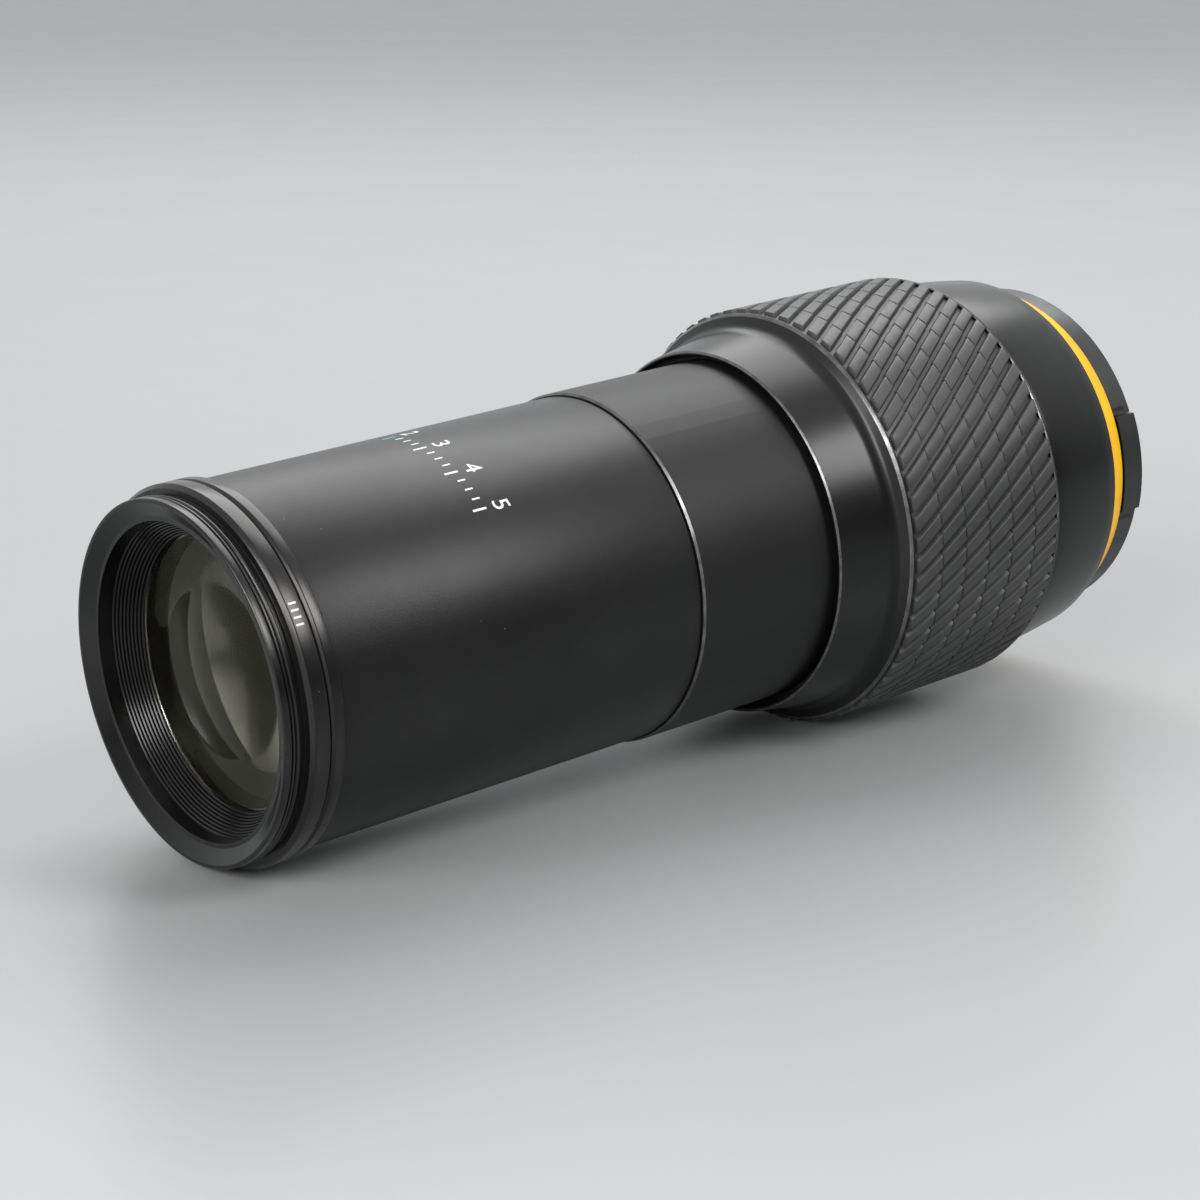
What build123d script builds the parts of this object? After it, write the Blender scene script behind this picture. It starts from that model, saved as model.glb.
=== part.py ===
from build123d import *
import os
from math import asin, atan2, cos, degrees, radians, sin

# Tele zoom conversion lens, in millimetres.
# The optical axis is X, the camera end points to -X and the front to +X, and +Z is up.
# The origin is on the axis at the rim of the camera thread.
# The lens is drawn at its longest, with the front cap on.

# Camera end
mount_radius = 26.0            # M52 x 0.75 male thread
thread_pitch = 0.75
thread_depth = 0.42
thread_length = 3.5
thread_land = 1.1              # plain lead before the first ridge
lead_chamfer = 0.15
undercut = 0.9                 # plain neck between the last ridge and the shoulder
shoulder_rise = 1.25            # marked ring and band stand above the thread
marked_ring_width = 2.9
ring_groove = 0.45
ring_groove_depth = 1.0
band_width = 1.9
edge_break = 0.3               # small chamfer on turned edges
mouth_wall = 0.6               # thread crest to the mouth's edge
throat_wall = 2.7              # thread crest to the mouth's throat
mouth_depth = 1.3
spigot_wall = 1.8
spigot_length = 7.5

# Rear barrel and the tube that runs into the zoom ring
barrel_rise = 0.5              # barrel over the thread crest
barrel_wall = 2.0
barrel_length = 63.2
seam = 0.25
tube_rise = 0.5                # inner tube over the barrel
tube_wall = 1.6
tube_length = 61.2
exposed_tube = 25.6            # from the seam to the lip of the zoom ring
joint_length = 9.0             # tube's spigot inside the rear barrel

# Zoom ring and its rubber
collar_wall = 0.55             # thin at its lip
collar_length = 10.4
collar_straight = 7.0
collar_growth = 0.7            # what the collar gains before its flare
collar_flare = 2.3             # foot over the lip
flange_rise = 1.3              # flange over the rubber between its bars
flange_width = 1.4
grip_length = 32.4
sleeve_wall = 2.35             # zoom ring under its rubber
grip_wall = 1.5
bar_height = 1.0
bar_length = 4.3
bar_width = 2.3
bar_slant = 28.0
bar_columns = 6
bar_column_pitch = 5.18
bar_rows = 60
bar_shift = 0.5                # bars sit nearer the far lip
grip_lip = 0.7
front_gap = 0.35

# Carriage tube and the drive
slide_fit = 0.05               # radial clearance of parts that slide or turn
carriage_wall = 1.15
carriage_recess = 3.1          # from the lip of the zoom ring back to the carriage tube
carriage_overlap = 6.5         # carriage tube inside the objective barrel
seal_width = 1.2
seal_gap = 0.3
zoom_travel = 16.0
variator_travel = 8.0
zoom_turn = 75.0
pin_radius = 1.5
pin_fit = 0.1
cam_pin_setback = 2.8          # first pins behind the flange
variator_pin_setback = 18.0    # second pins behind the first
variator_pin_turn = 90.0
pin_count = 3
pin_clearance = 0.4            # pin tip below the rubber
snap_width = 0.8
snap_depth = 0.55
snap_setback = 2.0
snap_split = 4.0
overcut = 1.0                  # cutters pass this far beyond a wall

# Objective barrel and its painted ring
objective_length = 15.2
objective_step = 0.7           # barrel below the rubber between its bars
objective_waist = 0.4          # fall half way along, which makes the side slightly round
objective_taper = 1.3          # fall at the cone
cone_length = 4.6
cone_wall = 1.75               # cone's small end over the filter thread
screw_fit = 0.05               # radial clearance of parts that are screwed together
cone_spigot = 2.2
front_thread_radius = mount_radius
front_thread_depth = 4.0

# Glass groups: radius, edge and the bulge of each face (negative is hollow)
rear_glass_margin = 2.35       # spigot bore to the rear glass
rear_glass_edge = 3.2
rear_glass_bulge = 3.0
rear_glass_back = 1.0
rear_setback = 3.6             # rear glass edge behind the thread shoulder
rear_cell_length = 34.0
rear_cell_wall = 2.05
rear_stage = 7.0               # spacer between the rear glass and the shoulder of its cell
inner_glass_radius = 12.5
inner_glass_edge = 3.4
inner_glass_bulge = 1.2
cell_lip = 1.1                 # shoulder that a glass rests on
retainer_width = 1.6
baffle_ridges = 9
baffle_depth = 3.6
baffle_gap = 0.35
stop_setback = 46.0            # glare stop behind the thread shoulder
stop_width = 2.0
stop_radius = 15.0
variator_fit = 0.1
variator_wall = 3.3
variator_glass_edge = 3.0
variator_glass_hollow = 2.2
variator_back_edge = 3.6
variator_spacer_width = 2.4
variator_reach = 1.6           # cell beyond its pins
front_glass_margin = 0.5       # filter thread to the front glass
front_glass_edge = 3.4
front_glass_bulge = 2.4
flint_edge = 2.6
flint_hollow = 2.0
front_cell_length = 8.6
front_spacer_width = 0.6

# Front cap
cap_gap = 0.3
cap_step = 0.45                # cap below the cone's small end
cap_height = 4.75
cap_wall = 1.4
cap_face = 1.2
cap_inset = 0.6                # face below the rim
cap_edge = 0.6
cap_plate_margin = 4.0         # filter thread to the cap's back plate
cap_plate = 1.1
tab_turn = 5.0                 # tabs sit a little above the sides
tab_width = 15.8
tab_stand = 0.5                # tab stands proud of the rim
tab_head = 2.6
tab_length = 9.6
tab_travel = 1.8
tab_fit = 0.2
jaw_depth = 2.4
jaw_thickness = 1.1
jaw_clearance = 0.15
jaw_width = 12.0
rail_width = 1.2
spring_wire = 0.4              # wire diameter
spring_radius = 0.9            # to the middle of the wire
spring_pitch = 1.1
post_radius = 12.0             # where the springs lean
post_wall = 1.2

# Stations along the axis
rim_x = 0.0
shoulder_x = rim_x + thread_length
ring_x = shoulder_x + marked_ring_width
band_x = ring_x + ring_groove
barrel_x = band_x + band_width
seam_x = barrel_x + barrel_length
tube_x = seam_x + seam
tube_end = tube_x + tube_length
lip_x = tube_x + exposed_tube
foot_x = lip_x + collar_length
flange_x = foot_x + flange_width
grip_end = flange_x + grip_length
ring_face = grip_end + grip_lip
front_x = ring_face + front_gap
cone_x = front_x + objective_length
face_x = cone_x + cone_length
cap_x = face_x + cap_gap
cap_end = cap_x + cap_height
rear_seat = shoulder_x + rear_setback
stop_x = shoulder_x + stop_setback

# Radii that follow from each other and from the fits
ring_radius = mount_radius + shoulder_rise
mouth_radius = mount_radius - mouth_wall
mouth_throat = mount_radius - throat_wall
barrel_radius = mount_radius + barrel_rise
tube_radius = barrel_radius + tube_rise
barrel_bore = barrel_radius - barrel_wall
tube_bore = tube_radius - tube_wall
carriage_bore = tube_radius + slide_fit
carriage_radius = carriage_bore + carriage_wall
sleeve_bore = carriage_radius + slide_fit
sleeve_radius = sleeve_bore + sleeve_wall
grip_radius = sleeve_radius + grip_wall  # rubber between its bars
flange_radius = grip_radius + flange_rise
collar_radius = sleeve_bore + collar_wall
foot_radius = collar_radius + collar_flare
objective_radius = grip_radius - objective_step
objective_end = objective_radius - objective_taper
cone_end = front_thread_radius + cone_wall
cap_radius = cone_end - cap_step
cap_plate_radius = front_thread_radius - cap_plate_margin
front_glass_radius = front_thread_radius - front_glass_margin
pin_tip = sleeve_radius - pin_clearance
spigot_radius = barrel_bore - screw_fit
spigot_bore = spigot_radius - spigot_wall
rear_glass_radius = spigot_bore - rear_glass_margin
slot_radius = pin_radius + pin_fit

# Places of the drive
carriage_x = lip_x + carriage_recess
carriage_end = front_x + carriage_overlap
cam_pin_x = flange_x + cam_pin_setback
variator_pin_x = cam_pin_x + variator_pin_setback
snap_x = ring_face - snap_setback
variator_drive = zoom_travel - variator_travel
pin_angles = [360 / pin_count * k for k in range(pin_count)]
variator_angles = [variator_pin_turn + a for a in pin_angles]


def turn(outline, mode=Mode.ADD):
    # Turns a closed outline of (x, radius) points about the optical axis.
    with BuildSketch(Plane.XY) as face:
        with BuildLine():
            Polyline(outline, close=True)
        make_face()
    revolve(face.sketch, axis=Axis.X, mode=mode)


def tube(start, end, inner, outer, mode=Mode.ADD):
    # Plain tube between two stations.
    turn([(start, inner), (end, inner), (end, outer), (start, outer)], mode)


def ridges(start, length, root, crest):
    # Outline of thread ridges between two stations, from the first root to the last.
    count = max(1, int(length / thread_pitch))
    points = [(start, root)]
    for k in range(count):
        points.append((start + (k + 0.4) * thread_pitch, crest))
        points.append((start + (k + 0.6) * thread_pitch, crest))
        points.append((start + (k + 1) * thread_pitch, root))
    return points


def dome(x, radius, bulge):
    # Arc from the axis to a glass edge at x, for a face that bulges to +x.
    ball = (radius**2 + bulge**2) / (2 * bulge)
    middle = x + bulge - ball
    half = asin(radius / ball) / 2
    return ThreePointArc((x + bulge, 0), (middle + ball * cos(half), ball * sin(half)), (x, radius))


def glass(x, edge, radius, back_bulge, front_bulge, back_land=cell_lip):
    # Glass element whose edge starts at x. The back face looks to -x. Flat lands round both
    # faces lie against the cell, the spacers and the retaining rings.
    with BuildSketch(Plane.XY) as face:
        with BuildLine():
            back = dome(x, radius - back_land, -back_bulge)
            front = dome(x + edge, radius - cell_lip, front_bulge)
            Polyline(back @ 1, (x, radius), (x + edge, radius), front @ 1)
            Line(back @ 0, front @ 0)
        make_face()
    revolve(face.sketch, axis=Axis.X)


def radial(x, angle, distance=0, slant=0):
    # Plane that faces outwards at an angle about the optical axis. Its x runs along the axis,
    # or slants away from it.
    out = Vector(0, cos(radians(angle)), sin(radians(angle)))
    along = Vector(1, 0, 0).rotate(Axis((0, 0, 0), out), slant)
    return Plane(origin=Vector(x, 0, 0) + out * distance, x_dir=along, z_dir=out)


def pins(x, angles, inner, radius, mode=Mode.ADD, outer=pin_tip):
    # Round pins that point outwards.
    for angle in angles:
        with BuildSketch(radial(x, angle, inner)) as face:
            Circle(radius)
        extrude(face.sketch, amount=outer - inner, mode=mode)


def straight_slots(start, end, angles, inner, outer):
    # Slots along the axis, through a tube wall, for a pin that travels between two stations.
    for angle in angles:
        with BuildSketch(radial((start + end) / 2, angle, inner)) as face:
            SlotCenterToCenter(end - start, 2 * slot_radius)
        extrude(face.sketch, amount=outer - inner, mode=Mode.SUBTRACT)


def slanted_slots(start, advance, angles, inner, outer):
    # Helical slots with round ends, which let a pin advance along the axis while the ring turns.
    middle = (inner + outer) / 2
    for angle in angles:
        with BuildPart(mode=Mode.PRIVATE) as cutter:
            with BuildLine():
                path = Helix(advance * 360 / zoom_turn, advance, middle,
                             direction=(1, 0, 0), lefthand=True)
            first = path @ 0
            out = Vector(0, first.Y, first.Z)
            with BuildSketch(Plane(origin=first, x_dir=out, z_dir=path % 0)):
                Rectangle(outer - inner, 2 * slot_radius)
            sweep(path=path, is_frenet=True)
        lead = degrees(atan2(first.Z, first.Y))
        add(cutter.part.moved(Location((start, 0, 0), (angle - lead, 0, 0))), mode=Mode.SUBTRACT)
    pins(start, angles, inner, slot_radius, Mode.SUBTRACT, outer)
    pins(start + advance, [angle - zoom_turn for angle in angles], inner, slot_radius,
         Mode.SUBTRACT, outer)


def save(builder, name):
    builder.part.label = name
    export_step(builder.part, f"parts/{name}.step")


os.makedirs("parts", exist_ok=True)

# Camera-end ring: chamfered mouth, thread ridges, undercut, marked band and a spigot.
thread_root = mount_radius - thread_depth
with BuildPart() as thread_ring:
    turn(
        [(rim_x, mouth_radius), (rim_x, mount_radius - lead_chamfer), (rim_x + lead_chamfer, mount_radius),
         (rim_x + thread_land, mount_radius)]
        + ridges(rim_x + thread_land, thread_length - thread_land - undercut, thread_root, mount_radius)
        + [
            (shoulder_x, thread_root),
            (shoulder_x, ring_radius - edge_break),
            (shoulder_x + edge_break, ring_radius),
            (ring_x - edge_break, ring_radius),
            (ring_x, ring_radius - edge_break),
            (ring_x, ring_radius - ring_groove_depth),
            (band_x, ring_radius - ring_groove_depth),
            (band_x, spigot_radius),
            (band_x + spigot_length, spigot_radius),
            (band_x + spigot_length, spigot_bore),
            (rim_x + mouth_depth, spigot_bore),
            (rim_x + mouth_depth, mouth_throat),
        ]
    )
save(thread_ring, "thread_ring")

# Plain band clamped between the camera-end ring and the rear barrel.
with BuildPart() as band_ring:
    turn([
        (band_x, spigot_radius + screw_fit),
        (band_x, ring_radius - edge_break),
        (band_x + edge_break, ring_radius),
        (barrel_x - edge_break, ring_radius),
        (barrel_x, ring_radius - edge_break),
        (barrel_x, spigot_radius + screw_fit),
    ])
save(band_ring, "band_ring")

# Long rear barrel.
with BuildPart() as rear_barrel:
    tube(barrel_x, seam_x, barrel_bore, barrel_radius)
save(rear_barrel, "rear_barrel")

# Tube that carries the zoom ring's carriage, with its spigot in the rear barrel.
with BuildPart() as inner_tube:
    turn([
        (tube_x - joint_length, spigot_bore),
        (tube_x - joint_length, spigot_radius),
        (seam_x, spigot_radius),
        (seam_x, tube_bore),
        (tube_x, tube_bore),
        (tube_x, tube_radius - edge_break),
        (tube_x + edge_break, tube_radius),
        (tube_end, tube_radius),
        (tube_end, tube_bore),
        (tube_x + joint_length, tube_bore),
        (tube_x, spigot_bore),
    ])
    pins(cam_pin_x, pin_angles, tube_bore - overcut, pin_radius, Mode.SUBTRACT)
    straight_slots(variator_pin_x - variator_travel, variator_pin_x, variator_angles,
                   tube_bore - overcut, tube_radius + overcut)
save(inner_tube, "inner_tube")

# Pins that drive the carriage: fixed in the tube, they reach into the zoom ring's slanted slots.
with BuildPart() as cam_pins:
    pins(cam_pin_x, pin_angles, tube_bore + pin_fit, pin_radius)
save(cam_pins, "cam_pins")

# Ridged cone that holds the rear glass against its cell.
baffle_mouth = spigot_bore - slide_fit
baffle_x = rear_seat - baffle_depth
baffle_bore = rear_glass_radius - baffle_gap
ridge = baffle_depth / baffle_ridges
with BuildPart() as rear_baffle:
    steps = [(baffle_x, baffle_mouth)]
    for k in range(baffle_ridges):
        r = baffle_mouth - (baffle_mouth - baffle_bore) * (k + 0.5) / baffle_ridges
        steps.append((baffle_x + k * ridge, r))
        steps.append((baffle_x + (k + 0.6) * ridge, r - ridge / 3))
        steps.append((baffle_x + (k + 1) * ridge, r))
    turn(steps + [(rear_seat, baffle_bore), (rear_seat, baffle_mouth)])
save(rear_baffle, "rear_baffle")

# Rear glass, its spacer and its cell. The cell narrows to the smaller inner glass.
rear_spacer_x = rear_seat + rear_glass_edge
rear_shoulder = rear_spacer_x + rear_stage
cell_bore = rear_glass_radius + slide_fit
cell_flange_x = band_x + spigot_length + screw_fit
cell_end = rear_seat + rear_cell_length
inner_seat = cell_end - inner_glass_edge - retainer_width - cell_lip
inner_bore = inner_glass_radius + slide_fit
with BuildPart() as rear_cell:
    turn([
        (rear_seat, cell_bore),
        (rear_seat, baffle_mouth),
        (cell_flange_x, baffle_mouth),
        (cell_flange_x, spigot_radius),
        (cell_flange_x + joint_length, spigot_radius),
        (inner_seat - cell_lip, inner_bore + rear_cell_wall),
        (cell_end, inner_bore + rear_cell_wall),
        (cell_end, inner_bore),
        (inner_seat, inner_bore),
        (inner_seat, inner_bore - cell_lip),
        (inner_seat - cell_lip, inner_bore - cell_lip),
        (rear_shoulder, cell_bore - cell_lip),
        (rear_shoulder, cell_bore),
    ])
save(rear_cell, "rear_cell")

with BuildPart() as rear_lens:
    glass(rear_seat, rear_glass_edge, rear_glass_radius, rear_glass_bulge, rear_glass_back, baffle_gap)
save(rear_lens, "rear_lens")

with BuildPart() as rear_spacer:
    tube(rear_spacer_x, rear_shoulder, rear_glass_radius - cell_lip, rear_glass_radius)
save(rear_spacer, "rear_spacer")

with BuildPart() as rear_inner_lens:
    glass(inner_seat, inner_glass_edge, inner_glass_radius, inner_glass_bulge, -inner_glass_bulge / 2)
save(rear_inner_lens, "rear_inner_lens")

with BuildPart() as rear_retainer:
    start = inner_seat + inner_glass_edge
    tube(start, start + retainer_width, inner_glass_radius - cell_lip, inner_glass_radius)
save(rear_retainer, "rear_retainer")

# Ring that stops stray light half way down the barrel.
with BuildPart() as glare_stop:
    turn([
        (stop_x, spigot_radius),
        (stop_x, stop_radius),
        (stop_x + edge_break, stop_radius),
        (stop_x + stop_width, spigot_radius - barrel_wall),
        (stop_x + 2 * stop_width, spigot_radius - barrel_wall),
        (stop_x + 2 * stop_width, spigot_radius),
    ])
save(glare_stop, "glare_stop")

# Moving inner group: its cell slides in the tube, and its pins reach the zoom ring.
variator_radius = tube_bore - variator_fit
variator_bore = variator_radius - variator_wall
variator_glass_radius = variator_bore - slide_fit
variator_end = variator_pin_x + pin_radius + variator_reach
back_glass_x = variator_end - retainer_width - variator_back_edge
spacer_x = back_glass_x - variator_spacer_width
front_glass_x = spacer_x - variator_glass_edge
with BuildPart() as variator_cell:
    turn([
        (front_glass_x - 2 * cell_lip, variator_bore - cell_lip),
        (front_glass_x - 2 * cell_lip, variator_radius),
        (variator_end, variator_radius),
        (variator_end, variator_bore),
        (front_glass_x, variator_bore),
        (front_glass_x, variator_bore - cell_lip),
    ])
    pins(variator_pin_x, variator_angles, variator_bore + cell_lip, pin_radius, Mode.SUBTRACT)
save(variator_cell, "variator_cell")

with BuildPart() as variator_front_lens:
    glass(front_glass_x, variator_glass_edge, variator_glass_radius, -variator_glass_hollow / 3,
          -variator_glass_hollow / 3)
save(variator_front_lens, "variator_front_lens")

with BuildPart() as variator_spacer:
    tube(spacer_x, back_glass_x, variator_glass_radius - cell_lip, variator_glass_radius)
save(variator_spacer, "variator_spacer")

with BuildPart() as variator_rear_lens:
    glass(back_glass_x, variator_back_edge, variator_glass_radius, -variator_glass_hollow,
          variator_glass_hollow / 3)
save(variator_rear_lens, "variator_rear_lens")

with BuildPart() as variator_retainer:
    tube(variator_end - retainer_width, variator_end, variator_glass_radius - cell_lip,
         variator_glass_radius)
save(variator_retainer, "variator_retainer")

with BuildPart() as variator_pins:
    pins(variator_pin_x, variator_angles, variator_bore + cell_lip, pin_radius)
save(variator_pins, "variator_pins")

# Carriage tube: slides on the inner tube, carries the zoom ring outside and the front group.
with BuildPart() as carriage_tube:
    tube(carriage_x, carriage_end, carriage_bore, carriage_radius)
    straight_slots(cam_pin_x, cam_pin_x + zoom_travel, pin_angles,
                   carriage_bore - overcut, carriage_radius + overcut)
    straight_slots(variator_pin_x, variator_pin_x + variator_drive, variator_angles,
                   carriage_bore - overcut, carriage_radius + overcut)
    tube(snap_x, snap_x + snap_width, carriage_radius - snap_depth, carriage_radius + overcut,
         Mode.SUBTRACT)
save(carriage_tube, "carriage_tube")

# Split spring ring that keeps the zoom ring on the carriage tube.
with BuildPart() as snap_ring:
    tube(snap_x + slide_fit, snap_x + snap_width - slide_fit, carriage_radius - snap_depth + slide_fit,
         carriage_radius + snap_depth)
    with BuildSketch(radial(snap_x, 45)):
        Rectangle(4 * snap_width, snap_split)
    extrude(amount=2 * carriage_radius, mode=Mode.SUBTRACT)
save(snap_ring, "snap_ring")

# Felt ring at the mouth of the carriage tube.
with BuildPart() as dust_seal:
    tube(carriage_x - seal_width, carriage_x, tube_radius + seal_gap, carriage_radius)
save(dust_seal, "dust_seal")

# Zoom ring: collar with a flared foot, flange, sleeve under the rubber and a thin far lip.
collar_end = collar_radius + collar_growth
with BuildPart() as zoom_ring:
    with BuildSketch(Plane.XY):
        with BuildLine():
            Polyline(
                (lip_x + collar_straight, collar_end),
                (lip_x + edge_break, collar_radius),
                (lip_x, sleeve_bore + edge_break / 3),
                (lip_x, sleeve_bore),
                (ring_face, sleeve_bore),
                (ring_face, grip_radius - edge_break),
                (ring_face - edge_break, grip_radius),
                (grip_end, grip_radius),
                (grip_end, sleeve_radius),
                (flange_x, sleeve_radius),
                (flange_x, flange_radius - edge_break),
                (flange_x - edge_break, flange_radius),
                (flange_x - 2 * edge_break, flange_radius),
                (foot_x, foot_radius),
            )
            TangentArc((lip_x + collar_straight, collar_end), (foot_x, foot_radius),
                       tangent=(collar_straight, collar_growth))
        make_face()
    revolve(axis=Axis.X)
    tube(snap_x - slide_fit, snap_x + snap_width + slide_fit, sleeve_bore - overcut,
         carriage_radius + snap_depth + slide_fit, Mode.SUBTRACT)
    slanted_slots(cam_pin_x, zoom_travel, pin_angles, sleeve_bore - overcut, sleeve_radius + overcut)
    slanted_slots(variator_pin_x, variator_drive, variator_angles,
                  sleeve_bore - overcut, sleeve_radius + overcut)
save(zoom_ring, "zoom_ring")

# Rubber sleeve with columns of slanted bars, all columns in step.
bars_x = (flange_x + grip_end - (bar_columns - 1) * bar_column_pitch) / 2 + bar_shift
bar_root = sleeve_radius + grip_wall / 2
with BuildPart() as grip_rubber:
    tube(flange_x, grip_end, sleeve_radius, grip_radius)
    places = []
    for column in range(bar_columns):
        for row in range(bar_rows):
            place_x = bars_x + column * bar_column_pitch
            places.append(radial(place_x, 360 / bar_rows * row, bar_root, bar_slant))
    with Locations(*places):
        Box(bar_length, bar_width, grip_radius + bar_height - bar_root,
            align=(Align.CENTER, Align.CENTER, Align.MIN))
save(grip_rubber, "grip_rubber")

# Objective barrel: slightly rounded taper, screwed on the carriage tube.
shell_bore = carriage_radius + screw_fit
with BuildPart() as objective_barrel:
    with BuildSketch(Plane.XY):
        with BuildLine():
            Polyline(
                (cone_x, objective_end),
                (cone_x, shell_bore),
                (front_x, shell_bore),
                (front_x, objective_radius - edge_break),
                (front_x + edge_break, objective_radius),
            )
            ThreePointArc((front_x + edge_break, objective_radius),
                          ((front_x + cone_x) / 2, objective_radius - objective_waist),
                          (cone_x, objective_end))
        make_face()
    revolve(axis=Axis.X)
save(objective_barrel, "objective_barrel")

# Painted ring: a cone that looks forwards, with the front filter thread in its bore.
filter_root = front_thread_radius
filter_crest = front_thread_radius - thread_depth
filter_x = face_x - front_thread_depth
with BuildPart() as orange_ring:
    turn(
        [
            (cone_x - cone_spigot, shell_bore - screw_fit),
            (cone_x, shell_bore - screw_fit),
            (cone_x, objective_end),
            (face_x, cone_end),
            (face_x, filter_root),
        ]
        + ridges(filter_x, front_thread_depth, filter_root, filter_crest)[::-1]
        + [(filter_x, filter_root + thread_depth), (cone_x - cone_spigot, filter_root + thread_depth)]
    )
save(orange_ring, "orange_ring")

# Front glass group in its cell.
cell_x = filter_x - front_cell_length
flint_x = cell_x + cell_lip
crown_x = flint_x + flint_edge + front_spacer_width
front_lock_x = crown_x + front_glass_edge
front_bore = front_glass_radius + slide_fit
front_cell_radius = filter_root + thread_depth - screw_fit
with BuildPart() as front_cell:
    turn([
        (cell_x, front_bore - 2 * cell_lip),
        (cell_x, shell_bore - screw_fit),
        (cone_x - cone_spigot - screw_fit, shell_bore - screw_fit),
        (cone_x - cone_spigot - screw_fit, front_cell_radius),
        (filter_x, front_cell_radius),
        (filter_x, front_bore),
        (flint_x, front_bore),
        (flint_x, front_bore - 2 * cell_lip),
    ])
save(front_cell, "front_cell")

with BuildPart() as front_inner_lens:
    glass(flint_x, flint_edge, front_glass_radius, -flint_hollow / 2, -flint_hollow / 4)
save(front_inner_lens, "front_inner_lens")

with BuildPart() as front_spacer:
    tube(flint_x + flint_edge, crown_x, front_glass_radius - cell_lip, front_glass_radius)
save(front_spacer, "front_spacer")

with BuildPart() as front_lens:
    glass(crown_x, front_glass_edge, front_glass_radius, -flint_hollow / 8, front_glass_bulge)
save(front_lens, "front_lens")

with BuildPart() as front_retainer:
    tube(front_lock_x, filter_x, front_glass_radius - cell_lip, front_glass_radius)
save(front_retainer, "front_retainer")

# Front cap: rim, sunk face, a post for the springs and rails for the two tabs.
under_face = cap_end - cap_inset - cap_face
rim_bore = cap_radius - cap_wall
tab_reach = cap_radius + tab_stand
window = tab_width + 2 * tab_fit
window_depth = tab_reach - tab_head - tab_travel - tab_fit
tab_angles = (180 - tab_turn, -tab_turn)
tab_names = ("cap_tab_right", "cap_tab_left")


def across(x, angle):
    # Plane that looks along the axis, with its x outwards at an angle about the optical axis.
    out = Vector(0, cos(radians(angle)), sin(radians(angle)))
    return Plane(origin=(x, 0, 0), x_dir=out, z_dir=(1, 0, 0))


with BuildPart() as cap_body:
    turn([
        (cap_x, rim_bore),
        (cap_x, cap_radius - edge_break),
        (cap_x + edge_break, cap_radius),
        (cap_end - cap_edge, cap_radius),
        (cap_end, cap_radius - cap_edge),
        (cap_end, rim_bore),
        (under_face + cap_face, rim_bore - cap_inset),
        (under_face + cap_face, 0),
        (under_face, 0),
        (under_face, rim_bore),
    ])
    tube(cap_x, under_face, post_radius - post_wall, post_radius)
    for angle in tab_angles:
        with BuildSketch(across(cap_x, angle)):
            with Locations(*[(post_radius, side * (window + rail_width) / 2) for side in (-1, 1)]):
                Rectangle(rim_bore - post_radius, rail_width, align=(Align.MIN, Align.CENTER))
        extrude(amount=under_face - cap_x)
    for angle in tab_angles:
        with BuildSketch(across(cap_x - cap_gap / 2, angle)):
            with Locations((window_depth, 0)):
                Rectangle(cap_radius, window, align=(Align.MIN, Align.CENTER))
        extrude(amount=cap_height + cap_gap, mode=Mode.SUBTRACT)
save(cap_body, "cap_body")

# Plate that closes the back of the cap, between the jaws.
with BuildPart() as cap_plate_disc:
    tube(cap_x - cap_plate, cap_x, 0, cap_plate_radius)
save(cap_plate_disc, "cap_plate")

# Pinch tabs: grip head, slide plate, and a jaw that reaches into the filter thread.
jaw_outer = filter_crest - jaw_clearance
slide_x = cap_x + tab_fit
slide_end = under_face - tab_fit
for angle, name in zip(tab_angles, tab_names):
    with BuildPart() as tab:
        head = tab_reach - tab_head
        with BuildSketch(across(slide_x, angle)):
            Circle(tab_reach)
            with Locations((head, 0)):
                Rectangle(cap_radius, tab_width, align=(Align.MIN, Align.CENTER), mode=Mode.INTERSECT)
        extrude(amount=cap_end - slide_x)
        chamfer(faces().sort_by(Axis.X)[-1].edges(), edge_break)
        with BuildSketch(across(slide_x, angle)):
            with Locations((tab_reach - tab_length, 0)):
                Rectangle(tab_length - tab_head, tab_width, align=(Align.MIN, Align.CENTER))
        extrude(amount=slide_end - slide_x)
        with BuildSketch(across(face_x - jaw_depth, angle)):
            Circle(jaw_outer)
            Circle(jaw_outer - jaw_thickness, mode=Mode.SUBTRACT)
            Rectangle(cap_radius, jaw_width, align=(Align.MIN, Align.CENTER), mode=Mode.INTERSECT)
        extrude(amount=slide_x - face_x + jaw_depth)
    save(tab, name)

# Springs behind the tabs, from the post to the tabs.
coil_x = (slide_x + slide_end) / 2
coil_start = post_radius + spring_wire / 2
coil_length = tab_reach - tab_length - spring_wire / 2 - coil_start
with BuildPart() as cap_springs:
    for angle in tab_angles:
        out = Vector(0, cos(radians(angle)), sin(radians(angle)))
        with BuildLine() as wire:
            Helix(spring_pitch, coil_length, spring_radius, center=Vector(coil_x, 0, 0) + out * coil_start,
                  direction=out)
        with BuildSketch(Plane(origin=wire.line @ 0, z_dir=wire.line % 0)):
            Circle(spring_wire / 2)
        sweep(path=wire.line, is_frenet=True)
save(cap_springs, "cap_springs")
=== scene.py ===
import bpy
import bmesh
from math import asin, cos, hypot, pi, radians, sin, tan
from mathutils import Matrix, Vector


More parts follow.
